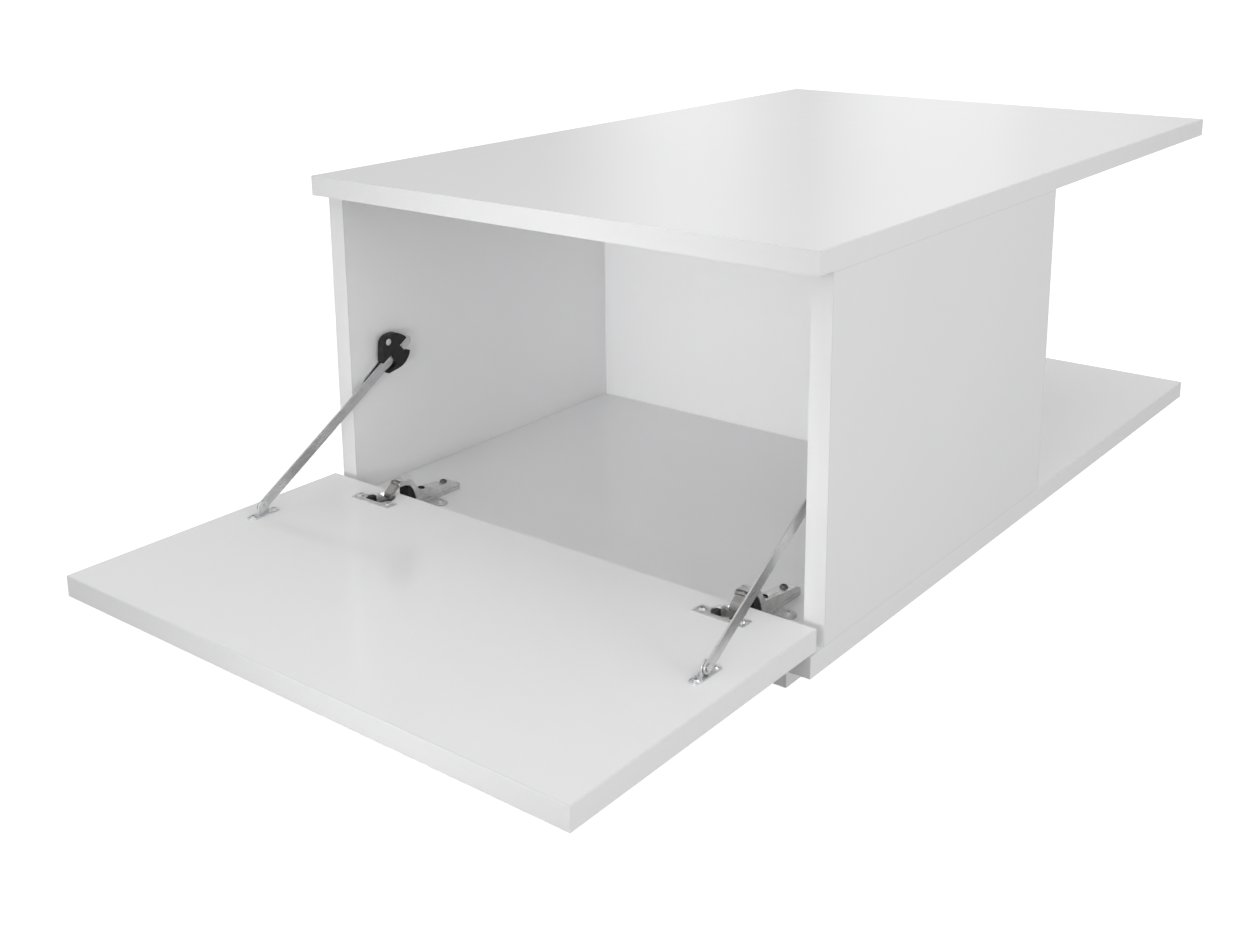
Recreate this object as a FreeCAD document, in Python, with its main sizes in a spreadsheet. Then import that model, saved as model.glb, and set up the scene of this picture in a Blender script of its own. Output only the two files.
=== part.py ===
import FreeCAD, Part
import math
import os
import re
import Sketcher

# Coffee table with a storage box under the front half of its top, an open shelf under the rear
# half, and a flap door at the front that is hinged along its bottom edge and drops open.
#
# Frame: +X to the right, +Y from the open flap towards the rear, +Z up. The origin is on the
# floor, in the middle of the table's box with the flap open. All sizes are in millimetres.

SIZES = (
    ("table_width", 650, "across the table"),
    ("table_length", 1020, "front edge to rear edge of the top and bottom panels"),
    ("board", 22, "thickness of every lacquered board"),
    ("clear_height", 355, "between the bottom panel and the top panel"),
    ("box_depth", 511, "front edge of the panels to the rear face of the storage box"),
    ("side_setback", 23.5, "front edge of the panels to the front edge of the side panels"),
    ("plinth_height", 59, "height of the plinth boards"),
    ("plinth_inset", 65, "outer faces of the plinth in from the edges of the panels"),
    ("glide_height", 2, "floor glide under the plinth"),
    ("glide_radius", 10, "floor glide"),
    ("door_side_gap", 0.5, "flap door in from the sides of the panels"),
    ("door_bottom_gap", 3.5, "closed door above the bottom panel"),
    ("door_top_gap", 3, "closed door below the top panel"),
    ("axis_depth", 6, "door axis behind the outer face of the closed door"),
    ("axis_height", 8, "door axis above the bottom panel"),
    ("running_fit", 0.05, "radial clearance of a pin that turns in its hole"),
    ("drill_fit", 0.05, "radial clearance of a screw, dowel or cup in its hole"),
    ("left_hinge_inset", 100, "left cup hinge in from the left edge"),
    ("right_hinge_inset", 83, "right cup hinge in from the right edge"),
    ("cup_inset", 22, "cup centre in from the hinged edge of the door"),
    ("cup_radius", 17.45, "outside of the cup"),
    ("cup_wall", 1.55, "wall of the cup"),
    ("cup_hollow", 12.4, "depth of the cup's hollow under the door's inner face"),
    ("cup_floor", 0.8, "bottom of the cup"),
    ("flange_length", 57, "cup flange, across the door"),
    ("flange_width", 15, "cup flange, along the door"),
    ("flange_thick", 1.2, "cup flange"),
    ("flange_offset", 9.5, "flange centre line from the cup centre"),
    ("cup_screw_pitch", 45, "between the two screws of a flange"),
    ("flange_lip", 11.7, "front of the flange's opening from the cup centre"),
    ("pivot_depth", 13, "arm pin behind the front edge of the panels"),
    ("pivot_rise", 9.6, "arm pin above the inner face of the open door"),
    ("pin_radius", 1.4, "arm pin"),
    ("eye_radius", 2.5, "round end of a link on the arm pin"),
    ("link_half_width", 5.4, "outer link, half of its width"),
    ("link_cheek", 1.2, "thickness of the outer link's cheeks"),
    ("inner_link_half_width", 3.6, "inner link, half of its width"),
    ("arm_half_width", 7.8, "hinge arm, half of its width"),
    ("arm_wall", 1.3, "sheet thickness of the hinge arm"),
    ("arm_rear", 106, "rear end of the arm behind the front edge of the panels"),
    ("plate_front", 44, "front end of the mounting plate behind the front edge"),
    ("plate_thick", 4, "height of the mounting plate under the arm"),
    ("rail_height", 3, "rail of the mounting plate, inside the arm"),
    ("wing_depth", 59, "middle of the plate's wings behind the front edge"),
    ("wing_reach", 31, "end of a wing from the middle of the plate"),
    ("wing_radius", 8, "half the width of a wing"),
    ("wing_thick", 2.5, "thickness of a wing"),
    ("wing_screw", 23, "wing screw from the middle of the plate"),
    ("front_screw_depth", 51, "arm's adjusting screw behind the front edge"),
    ("rear_screw_depth", 87, "arm's fixing screw behind the front edge"),
    ("arm_screw_radius", 2.9, "adjusting screw and shank of the fixing screw"),
    ("adjuster_hole", 4, "hole in the arm over the adjusting screw"),
    ("adjuster_top", 13.2, "top of the adjusting screw above the bottom panel"),
    ("fixing_seat", 12.7, "underside of the fixing screw's head above the bottom panel"),
    ("bar_offset", 8, "middle of the stay bar from the inner face of the side panel"),
    ("stay_reach", 126, "bar rivet from the door axis, along the door"),
    ("stay_lug", 8, "bar rivet above the door's inner face"),
    ("hub_angle", 73.3, "direction of the hub pin from the door axis, in degrees"),
    ("bar_width", 12, "stay bar"),
    ("bar_thick", 2, "stay bar"),
    ("bar_spare", 21, "centre of the bar's free end beyond the middle of the hub"),
    ("stop_spare", 12.5, "bar's stop pin beyond the middle of the hub"),
    ("stop_radius", 2.2, "heads of the bar's stop pin"),
    ("bar_gap", 0.35, "stay bar to the walls of the hub's channel"),
    ("side_gap", 0.3, "between neighbouring faces that slide or turn"),
    ("rivet_radius", 2, "bar rivet"),
    ("lug_radius", 7, "round top of the bracket's lug"),
    ("lug_thick", 1.8, "bracket lug"),
    ("bracket_length", 28, "between the centres of the bracket's round ends"),
    ("bracket_radius", 6, "round ends of the door bracket"),
    ("bracket_thick", 1.5, "door bracket"),
    ("hub_along", 51.2, "middle of the hub from its pin, along the bar"),
    ("hub_tail_radius", 4.4, "tail of the hub, behind the bar"),
    ("hub_face", 12.3, "front face of the hub from the side panel"),
    ("hub_screw_back", 3.8, "friction screw behind the middle of the hub, along the bar"),
    ("hub_screw_rise", 22, "friction screw above the bar's middle line"),
    ("hub_screw_depth", 5, "hole of the friction screw"),
    ("base_thick", 3, "hub base plate"),
    ("base_end_radius", 8.5, "wide end of the hub base plate, behind the hub"),
    ("base_radius", 4.4, "narrow end of the hub base plate, behind the bar"),
    ("hub_pin_radius", 3, "pin of the hub base plate"),
    ("dowel_radius", 4, "wooden dowel"),
    ("dowel_length", 30, "wooden dowel"),
    ("dowel_sunk", 12, "dowel in the top or bottom panel"),
    ("cam_radius", 7.5, "cam fitting"),
    ("cam_depth", 12.5, "cam fitting"),
    ("cam_drop", 34, "middle of the cam below the top panel"),
    ("cam_bolt_radius", 3, "cam bolt"),
    ("angle_leg", 25, "leg of a plinth angle bracket"),
    ("angle_width", 18, "plinth angle bracket"),
    ("angle_thick", 2, "plinth angle bracket"),
)

# Places that follow from the sizes. "table" values count from the front edge of the panels
# (along Y) or from the upper face of the bottom panel (along Z).
PLACES = {
    "door_length": "clear_height - door_bottom_gap - door_top_gap",
    "door_rear": "axis_depth + axis_height - door_bottom_gap",
    "front_edge": "-(table_length + door_rear - door_length) / 2",
    "deck": "glide_height + plinth_height + board",
    "left_edge": "-table_width / 2",
    "door_under": "axis_height - axis_depth",
    "door_face": "door_under + board",
    "pivot_height": "door_face + pivot_rise",
    "cup_place": "door_rear - cup_inset",
    "cup_inside": "cup_radius - cup_wall",
    "arm_inside": "arm_half_width - arm_wall",
    "lug_level": "door_face - axis_height + stay_lug",
    "stay_radius": "sqrt(stay_reach^2 + lug_level^2)",
    "rivet_angle": "180 - atan(lug_level / stay_reach) / (1 deg)",
    "bar_angle": "(rivet_angle + hub_angle) / 2 - 90",
    "hub_reach": "2 * stay_radius * sin((rivet_angle - hub_angle) / 2) + hub_along",
    "bar_length": "hub_reach + bar_spare",
    "stop_place": "hub_reach + stop_spare",
    "rivet_place": "axis_depth - stay_reach",
    "hub_place": "axis_depth + stay_radius * cos(hub_angle)",
    "hub_level": "axis_height + stay_radius * sin(hub_angle)",
}

# Side profile of the hinge arm, (along Y, along Z) in table values, clockwise from above the pin:
# over the door's edge, down the slope, along the body and back under the arch.
ARM_TOP = ((13, "pivot_height + 2.7"), (24, "pivot_height + 3.2"), (31, "pivot_height + 0.7"), (43, 17.5))
ARM_BODY_END = 10.5
ARM_UNDERSIDE = ((45, 4), (37.5, 7), (31.5, "pivot_height - 10.6"), (26.5, "pivot_height - 4.6"),
                 (20, "pivot_height - 2.6"), (13, "pivot_height - 2.6"))
INSERT_PROFILE = ((24, "pivot_height - 7.1"), (29.5, "pivot_height - 8.1"), (36, 10.5), (36, 6.5),
                  (28.5, 10), (23.8, 17))

# Outline of the hub about its middle, (along the bar, across the bar): an upper lobe, a bridge
# over the bar and a lower lobe that ends in a hook.
HUB_LOBE_EDGE = "bar_width / 2 + bar_gap"
HUB_OUTLINE = (
    (-8, HUB_LOBE_EDGE), (-24, HUB_LOBE_EDGE), (-23, 9.5), (-20, 14), (-16.5, 18.8), (-13, 23.6),
    (-9.3, 27.6), (-5, 29), (0, 28.6), (5.5, 26.4), (10.6, 23.1), (14, 19.5), (16.7, 15.3), (19, 11),
    (20.3, HUB_LOBE_EDGE), (7, HUB_LOBE_EDGE), (10, -8.6), (15.8, -10.3), (12.5, -13.3), (8.8, -15.3),
    (3.5, -16.9), (-1.8, -17.2), (-6.5, -16.4), (-10.5, -15.1), (-16, -12.9), (-20, -11.3),
    (-24, -9.7), (-25.6, -8), (-24, -7), (-18.5, -8.2), (-14, -9.6), (-11, -9), (-7.5, -4.5),
)

# Middle line of a hinge link with the flap open, from the arm pin into the cup.
LINK_LINE = ((0, 0), (-11.6, -8.4), (-12.8, -13.2))
LINK_FRONT = -1.8
LINK_BACK = 1.7
WEB_BACK = -0.7
INNER_FRONT = -0.3

doc = FreeCAD.newDocument("coffee_table")
sheet = doc.addObject("Spreadsheet::Sheet", "Sizes")
for row, (alias, number, note) in enumerate(SIZES, start=1):
    sheet.set(f"A{row}", alias)
    sheet.set(f"B{row}", str(number))
    sheet.set(f"C{row}", note)
    sheet.setAlias(f"B{row}", alias)
doc.recompute()

CELLS = {alias for alias, number, note in SIZES}
SIDES = {"left": -1, "right": 1}
parts = []


def formula(text):
    """Writes the names of sizes and places in a formula as references to the sheet's cells."""

    def swap(match):
        word = match.group(0)
        if word in PLACES:
            return "(" + formula(PLACES[word]) + ")"
        return "Sizes." + word if word in CELLS else word

    return re.sub(r"[a-z][a-z_0-9]*", swap, str(text))


def at(text):
    """The number that a formula gives with the sheet's present sizes."""
    value = sheet.evalExpression(formula(text))
    return float(getattr(value, "Value", value))


def bind(obj, prop, text):
    obj.setExpression(prop, formula(text))


def place(obj, along_x, along_y, along_z):
    for axis, text in zip("xyz", (along_x, along_y, along_z)):
        bind(obj, "Placement.Base." + axis, text)


def keep(obj, label):
    """Names a finished sub-part, which is written to a file of that name."""
    obj.Label = label
    parts.append(obj)
    return obj


# Sketches and features of a body ------------------------------------------------------------


def new_body(label):
    return keep(doc.addObject("PartDesign::Body", label + "_body"), label)


def sketch_on(body, role, lift):
    """A sketch on one of the body's own origin planes, lifted along the plane's normal."""
    sketch = body.newObject("Sketcher::SketchObject", "Sketch")
    plane = next(item for item in body.Origin.OriginFeatures if item.Role == role)
    sketch.AttachmentSupport = [(plane, "")]
    sketch.MapMode = "FlatFace"
    bind(sketch, "AttachmentOffset.Base.z", lift)
    return sketch


def pin_point(sketch, curve, vertex, along, up):
    """Binds a vertex of a sketched curve to formulas for its place from the sketch's origin."""
    for kind, text in (("DistanceX", along), ("DistanceY", up)):
        rule = sketch.addConstraint(Sketcher.Constraint(kind, -1, 1, curve, vertex, at(text)))
        bind(sketch, f"Constraints[{rule}]", text)


def outline(sketch, points):
    """Closed outline of straight lines, each corner bound to its two formulas."""
    corners = [FreeCAD.Vector(at(x), at(y), 0) for x, y in points]
    first = sketch.GeometryCount
    count = len(corners)
    for i in range(count):
        sketch.addGeometry(Part.LineSegment(corners[i], corners[(i + 1) % count]), False)
    for i in range(count):
        following = first + (i + 1) % count
        sketch.addConstraint(Sketcher.Constraint("Coincident", first + i, 2, following, 1))
    for i, (x, y) in enumerate(points):
        pin_point(sketch, first + i, 1, x, y)


def rectangle(sketch, left, right, low, high):
    outline(sketch, ((left, low), (right, low), (right, high), (left, high)))


def circle(sketch, along, up, radius):
    curve = sketch.addGeometry(
        Part.Circle(FreeCAD.Vector(at(along), at(up), 0), FreeCAD.Vector(0, 0, 1), at(radius)), False
    )
    pin_point(sketch, curve, 3, along, up)
    rule = sketch.addConstraint(Sketcher.Constraint("Radius", curve, at(radius)))
    bind(sketch, f"Constraints[{rule}]", radius)


def clipped_circle(sketch, radius, chord):
    """The part of a circle about the sketch's origin that lies above a level line."""
    r, level = at(radius), at(chord)
    start = math.asin(level / r)
    whole = Part.Circle(FreeCAD.Vector(0, 0, 0), FreeCAD.Vector(0, 0, 1), r)
    arc = sketch.addGeometry(Part.ArcOfCircle(whole, start, math.pi - start), False)
    ends = [FreeCAD.Vector(side * r * math.cos(start), level, 0) for side in (-1, 1)]
    line = sketch.addGeometry(Part.LineSegment(*ends), False)
    sketch.addConstraint(Sketcher.Constraint("Coincident", arc, 2, line, 1))
    sketch.addConstraint(Sketcher.Constraint("Coincident", line, 2, arc, 1))
    sketch.addConstraint(Sketcher.Constraint("Horizontal", line))
    pin_point(sketch, arc, 3, "0", "0")
    for kind, rule in (("Radius", Sketcher.Constraint("Radius", arc, r)),
                       ("DistanceY", Sketcher.Constraint("DistanceY", -1, 1, line, 1, level))):
        bind(sketch, f"Constraints[{sketch.addConstraint(rule)}]", radius if kind == "Radius" else chord)


def belt(sketch, near, near_radius, far, far_radius):
    """Outline of a belt round two circles: a slot with equal radii, a drop with unequal ones."""
    centres = [FreeCAD.Vector(at(x), at(y), 0) for x, y in (near, far)]
    radii = [at(near_radius), at(far_radius)]
    line = centres[1] - centres[0]
    heading = math.atan2(line.y, line.x)
    lean = math.acos((radii[0] - radii[1]) / line.Length)
    up, down = heading + lean, heading - lean
    ends = [[c + FreeCAD.Vector(r * math.cos(a), r * math.sin(a), 0) for a in (up, down)]
            for c, r in zip(centres, radii)]
    normal = FreeCAD.Vector(0, 0, 1)
    near_arc = Part.ArcOfCircle(Part.Circle(centres[0], normal, radii[0]), up, down + 2 * math.pi)
    far_arc = Part.ArcOfCircle(Part.Circle(centres[1], normal, radii[1]), down, up)
    first = sketch.GeometryCount
    sketch.addGeometry(near_arc, False)
    sketch.addGeometry(Part.LineSegment(ends[0][1], ends[1][1]), False)
    sketch.addGeometry(far_arc, False)
    sketch.addGeometry(Part.LineSegment(ends[1][0], ends[0][0]), False)
    for i in range(4):
        rule = Sketcher.Constraint("Tangent", first + i, 2, first + (i + 1) % 4, 1)
        sketch.addConstraint(rule)
    for curve, place_of, radius in ((first, near, near_radius), (first + 2, far, far_radius)):
        pin_point(sketch, curve, 3, *place_of)
        rule = sketch.addConstraint(Sketcher.Constraint("Radius", curve, at(radius)))
        bind(sketch, f"Constraints[{rule}]", radius)


def pad(body, sketch, length):
    feature = body.newObject("PartDesign::Pad", "Pad")
    feature.Profile = sketch
    bind(feature, "Length", length)
    body.Tip = feature
    return feature


def pocket(body, sketch, depth):
    """Cuts from the sketch against its plane's normal."""
    feature = body.newObject("PartDesign::Pocket", "Pocket")
    feature.Profile = sketch
    bind(feature, "Length", depth)
    body.Tip = feature
    return feature


def lift_between(side, low, high, top=False):
    """Lift of a sketch across X for a layer from low to high, mirrored on the left side.

    X counts from the side panel towards the middle of the table, so it runs along +X on the
    left and along -X on the right. A pad starts at the layer's lower X, a pocket at its upper.
    """
    start = (high if top else low) if side == "left" else f"-({low if top else high})"
    return start


def layer_pad(body, side, low, high, draw, *values):
    sketch = sketch_on(body, "YZ_Plane", lift_between(side, low, high))
    draw(sketch, *values)
    return pad(body, sketch, f"({high}) - ({low})")


def layer_pocket(body, side, low, high, draw, *values):
    sketch = sketch_on(body, "YZ_Plane", lift_between(side, low, high, top=True))
    draw(sketch, *values)
    return pocket(body, sketch, f"({high}) - ({low})")


# Screws, pins and other groups of equal small solids ----------------------------------------


def screw(shank_radius, shank_length, head_radius, head_height):
    """A low-domed cross-recess screw: its head stands on z = 0 and its shank points down."""
    shank = Part.makeCylinder(shank_radius, shank_length - shank_radius,
                              FreeCAD.Vector(0, 0, 0), FreeCAD.Vector(0, 0, -1))
    point = Part.makeCone(shank_radius, shank_radius / 4, shank_radius,
                          FreeCAD.Vector(0, 0, shank_radius - shank_length), FreeCAD.Vector(0, 0, -1))
    head = Part.makeCone(head_radius, 0.72 * head_radius, head_height)
    solid = head.fuse([shank, point]).removeSplitter()
    arm, slot, depth = 0.55 * head_radius, 0.2 * head_radius, 0.6 * head_height
    for length, width in ((arm, slot), (slot, arm)):
        recess = Part.makeBox(2 * length, 2 * width, depth,
                              FreeCAD.Vector(-length, -width, head_height - depth))
        solid = solid.cut(recess)
    return solid


def rod(radius, length):
    """A plain round rod from z = 0 down."""
    return Part.makeCylinder(radius, length, FreeCAD.Vector(0, 0, 0), FreeCAD.Vector(0, 0, -1))


def group(label, shape, spots):
    """One sub-part of equal separate solids: each spot is (x, y, z, direction of its head)."""
    copies = []
    for x, y, z, head in spots:
        copy = shape.copy()
        turn = FreeCAD.Rotation(FreeCAD.Vector(0, 0, 1), FreeCAD.Vector(*head))
        copy.Placement = FreeCAD.Placement(FreeCAD.Vector(at(x), at(y), at(z)), turn)
        copies.append(copy)
    feature = doc.addObject("Part::Feature", label + "_shape")
    feature.Shape = Part.makeCompound(copies)
    return keep(feature, label)


def bores(spots, radius, depth):
    """Cylinders to drill out: from half a millimetre above each spot, away from its head."""
    above = 0.5
    tool = rod(radius, depth + above)
    result = []
    for x, y, z, head in spots:
        copy = tool.copy()
        turn = FreeCAD.Rotation(FreeCAD.Vector(0, 0, 1), FreeCAD.Vector(*head))
        start = FreeCAD.Vector(at(x), at(y), at(z)) + FreeCAD.Vector(*head) * above
        copy.Placement = FreeCAD.Placement(start, turn)
        result.append(copy)
    return result


UP, DOWN = (0, 0, 1), (0, 0, -1)
RIGHT, LEFT = (1, 0, 0), (-1, 0, 0)
FORWARD, BACKWARD = (0, -1, 0), (0, 1, 0)

# Where the fasteners are --------------------------------------------------------------------

HINGE_X = {"left": "left_edge + left_hinge_inset", "right": "-left_edge - right_hinge_inset"}
STAY_X = {"left": "left_edge + board + bar_offset", "right": "-left_edge - board - bar_offset"}
INNER_FACE = {"left": "left_edge + board", "right": "-left_edge - board"}
PANEL_MIDDLE = {"left": "left_edge + board / 2", "right": "-left_edge - board / 2"}
INWARD = {"left": RIGHT, "right": LEFT}

TOP_FACE = "deck + clear_height"
BACK_MIDDLE = "front_edge + box_depth - board / 2"
SCREW_DEPTHS = ("60", "box_depth / 2 + 20", "box_depth - 60")
DOWEL_DEPTHS = ("115", "box_depth - 130")
CAM_DEPTHS = ("box_depth * 0.4", "box_depth - 75")
ACROSS = ("-table_width / 4", "table_width / 4")

cup_screws = [
    (f"{HINGE_X[side]} + {sign} * cup_screw_pitch / 2", "front_edge + cup_place - flange_offset",
     "deck + door_face + flange_thick", UP)
    for side in SIDES for sign in (-1, 1)
]
wing_screws = [
    (f"{HINGE_X[side]} + {sign} * wing_screw", "front_edge + wing_depth", "deck + wing_thick", UP)
    for side in SIDES for sign in (-1, 1)
]
bracket_spots = [
    (f"{STAY_X[side]} - {sign} * (bar_thick / 2 + side_gap + lug_thick / 2)",
     f"front_edge + rivet_place + {end} * bracket_length / 2",
     "deck + door_face + bracket_thick", UP)
    for side, sign in SIDES.items() for end in (-1, 1)
]
base_spots = [
    (f"{INNER_FACE[side]} - {sign} * (base_thick - 1.8)",
     f"front_edge + hub_place + {along} * cos(bar_angle)",
     f"deck + hub_level + {along} * sin(bar_angle)", INWARD[side])
    for side, sign in SIDES.items() for along in ("hub_along / 2", "hub_along")
]
upright_screws = [
    (PANEL_MIDDLE[side], f"front_edge + {depth}", "deck - board + 3", DOWN)
    for side in SIDES for depth in SCREW_DEPTHS
] + [(x, BACK_MIDDLE, "deck - board + 3", DOWN) for x in ACROSS]
upright_tops = [
    (PANEL_MIDDLE[side], f"front_edge + {depth}") for side in SIDES for depth in DOWEL_DEPTHS
] + [(f"{x} * 0.5", BACK_MIDDLE) for x in ACROSS]
dowels = [(x, y, "deck - dowel_sunk + dowel_length", UP) for x, y in upright_tops] + [
    (x, y, f"{TOP_FACE} + dowel_sunk", UP) for x, y in upright_tops
]
cams = [
    (INNER_FACE[side], f"front_edge + {depth}", f"{TOP_FACE} - cam_drop", INWARD[side])
    for side in SIDES for depth in CAM_DEPTHS
] + [(x, "front_edge + box_depth - board", f"{TOP_FACE} - cam_drop", FORWARD) for x in ACROSS]
cam_bolts = [
    (PANEL_MIDDLE[side], f"front_edge + {depth}", f"{TOP_FACE} + 11", UP)
    for side in SIDES for depth in CAM_DEPTHS
] + [(x, BACK_MIDDLE, f"{TOP_FACE} + 11", UP) for x in ACROSS]
CAM_BOLT_LENGTH = "11 + cam_drop - 2"

ANGLE_DEPTHS = ("plinth_inset + 90", "table_length / 2", "table_length - plinth_inset - 90")
PLINTH_FACE = {"left": "left_edge + plinth_inset + board",
               "right": "-left_edge - plinth_inset - board"}
angle_spots = [
    (PLINTH_FACE[side], f"front_edge + {depth}", INWARD[side])
    for side in SIDES for depth in ANGLE_DEPTHS
] + [("0", "front_edge + plinth_inset + board", BACKWARD),
     ("0", "front_edge + table_length - plinth_inset - board", FORWARD)]


def angle_screws():
    """Two screws in each plinth bracket: one into the plinth board, one up into the panel."""
    spots = []
    for x, y, facing in angle_spots:
        reach = 0.6 * at("angle_leg")
        thick = at("angle_thick")
        dx, dy = facing[0], facing[1]
        spots.append((f"{x} + {dx * thick}", f"{y} + {dy * thick}", f"deck - board - {reach}", facing))
        spots.append((f"{x} + {dx * reach}", f"{y} + {dy * reach}", "deck - board - angle_thick", DOWN))
    return spots


plinth_screws = angle_screws()

# Screw sizes: shank radius, length under the head, head radius, head height
CUP_SCREW = (2, 12, 3.8, 1.7)
WING_SCREW = (2.4, 14, 4, 1.9)
BRACKET_SCREW = (1.75, 12, 3.2, 1.5)
BASE_SCREW = (1.75, 14, 3, 1.5)
UPRIGHT_SCREW = (3, 50, 5, 2.6)
PLINTH_SCREW = (1.75, 14, 3.4, 1.6)


# Boards -------------------------------------------------------------------------------------


def board(label, corner, size, drillings=()):
    """A rectangular board from its lowest corner and its three sizes, with its holes."""
    box = doc.addObject("Part::Box", label + "_blank")
    place(box, *corner)
    for prop, text in zip(("Length", "Width", "Height"), size):
        bind(box, prop, text)
    if not drillings:
        return keep(box, label)
    tool = doc.addObject("Part::Feature", label + "_drillings")
    tool.Shape = Part.makeCompound(list(drillings))
    cut = doc.addObject("Part::Cut", label + "_cut")
    cut.Base = box
    cut.Tool = tool
    return keep(cut, label)


def screw_bores(spots, kind, through=0):
    """Pilot holes for screws whose heads stand a little way above the drilled board."""
    radius = kind[0] + at("drill_fit")
    return bores(spots, radius, kind[1] + through)


def bottom_panel():
    counterbores = [(x, y, "deck - board", DOWN) for x, y, z, head in upright_screws]
    holes = screw_bores(wing_screws, WING_SCREW)
    holes += screw_bores(upright_screws, UPRIGHT_SCREW)
    holes += bores(counterbores, UPRIGHT_SCREW[2] + at("drill_fit"), 3)
    holes += bores(dowels[: len(upright_tops)], at("dowel_radius + drill_fit"), at("dowel_length"))
    holes += screw_bores([spot for spot in plinth_screws if spot[3] == DOWN], PLINTH_SCREW)
    board("bottom_panel", ("left_edge", "front_edge", "deck - board"),
          ("table_width", "table_length", "board"), holes)


def top_panel():
    holes = bores(dowels[len(upright_tops):], at("dowel_radius + drill_fit"), at("dowel_length"))
    holes = [hole.common(under_top()) for hole in holes]
    bolts = bores(cam_bolts, at("cam_bolt_radius + drill_fit"), at(CAM_BOLT_LENGTH))
    holes += [hole.common(under_top()) for hole in bolts]
    board("top_panel", ("left_edge", "front_edge", TOP_FACE),
          ("table_width", "table_length", "board"), holes)


def under_top():
    """Everything up to the ends of the blind holes in the top panel."""
    return Part.makeBox(at("table_width"), at("table_length"), at("clear_height + dowel_sunk"),
                        FreeCAD.Vector(at("left_edge"), at("front_edge"), at("deck")))


def upright_bores():
    """The holes that the upright panels share: screws and dowels below, dowels and bolts above."""
    fit = at("drill_fit")
    holes = screw_bores(upright_screws, UPRIGHT_SCREW)
    holes += bores(dowels, at("dowel_radius") + fit, at("dowel_length"))
    holes += bores(cam_bolts, at("cam_bolt_radius") + 4 * fit, at(CAM_BOLT_LENGTH))
    holes += bores(cams, at("cam_radius") + fit, at("cam_depth") + fit)
    return holes


def side_panel(side):
    corner = "left_edge" if side == "left" else "-left_edge - board"
    holes = upright_bores() + screw_bores(base_spots, BASE_SCREW)
    board(f"{side}_side_panel", (corner, "front_edge + side_setback", "deck"),
          ("board", "box_depth - side_setback", "clear_height"), holes)


def back_panel():
    board("back_panel", ("left_edge + board", "front_edge + box_depth - board", "deck"),
          ("table_width - 2 * board", "board", "clear_height"), upright_bores())


def flap_door():
    cup_spots = [(HINGE_X[side], "front_edge + cup_place", "deck + door_face", UP) for side in SIDES]
    holes = bores(cup_spots, at("cup_radius + drill_fit"), at("cup_hollow + cup_floor + drill_fit"))
    holes += screw_bores(cup_screws, CUP_SCREW)
    holes += screw_bores(bracket_spots, BRACKET_SCREW)
    board("flap_door",
          ("left_edge + door_side_gap", "front_edge + door_rear - door_length", "deck + door_under"),
          ("table_width - 2 * door_side_gap", "door_length", "board"), holes)


def plinth():
    """Two side boards over the whole length, with the front and rear boards between them."""
    holes = screw_bores([spot for spot in plinth_screws if spot[3] != DOWN], PLINTH_SCREW)
    for side, x in (("left", "left_edge + plinth_inset"), ("right", "-left_edge - plinth_inset - board")):
        board(f"plinth_{side}_board", (x, "front_edge + plinth_inset", "glide_height"),
              ("board", "table_length - 2 * plinth_inset", "plinth_height"), holes)
    for end, y in (("front", "front_edge + plinth_inset"),
                   ("rear", "front_edge + table_length - plinth_inset - board")):
        board(f"plinth_{end}_board", ("left_edge + plinth_inset + board", y, "glide_height"),
              ("table_width - 2 * plinth_inset - 2 * board", "board", "plinth_height"), holes)


def floor_glides():
    """Flat round pads with a chamfered lower edge, three under each plinth side board."""
    radius, height = at("glide_radius"), at("glide_height")
    disc = Part.makeCylinder(radius, height / 2)
    foot = Part.makeCone(radius - height / 2, radius, height / 2)
    foot.translate(FreeCAD.Vector(0, 0, -height / 2))
    pad_shape = disc.fuse(foot).removeSplitter()
    rows = ("plinth_inset + 30", "table_length / 2", "table_length - plinth_inset - 30")
    spots = [(f"{sign} * (table_width / 2 - plinth_inset - board / 2)", f"front_edge + {row}",
              "glide_height / 2", UP) for sign in (-1, 1) for row in rows]
    group("floor_glides", pad_shape, spots)


def plinth_brackets():
    """Angle brackets inside the plinth that tie its boards to the bottom panel."""
    leg, width, thick = at("angle_leg"), at("angle_width"), at("angle_thick")
    hole = PLINTH_SCREW[0] + at("drill_fit")
    upright = Part.makeBox(thick, width, leg, FreeCAD.Vector(0, -width / 2, -leg))
    flat = Part.makeBox(leg, width, thick, FreeCAD.Vector(0, -width / 2, -thick))
    angle = upright.fuse(flat).removeSplitter()
    reach = 0.6 * leg
    angle = angle.cut(Part.makeCylinder(hole, 3 * thick, FreeCAD.Vector(-thick, 0, -reach),
                                        FreeCAD.Vector(1, 0, 0)))
    angle = angle.cut(Part.makeCylinder(hole, 3 * thick, FreeCAD.Vector(reach, 0, -2 * thick)))
    copies = []
    for x, y, facing in angle_spots:
        copy = angle.copy()
        turn = FreeCAD.Rotation(FreeCAD.Vector(1, 0, 0), FreeCAD.Vector(*facing))
        copy.Placement = FreeCAD.Placement(FreeCAD.Vector(at(x), at(y), at("deck - board")), turn)
        copies.append(copy)
    feature = doc.addObject("Part::Feature", "plinth_brackets_shape")
    feature.Shape = Part.makeCompound(copies)
    keep(feature, "plinth_brackets")


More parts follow.
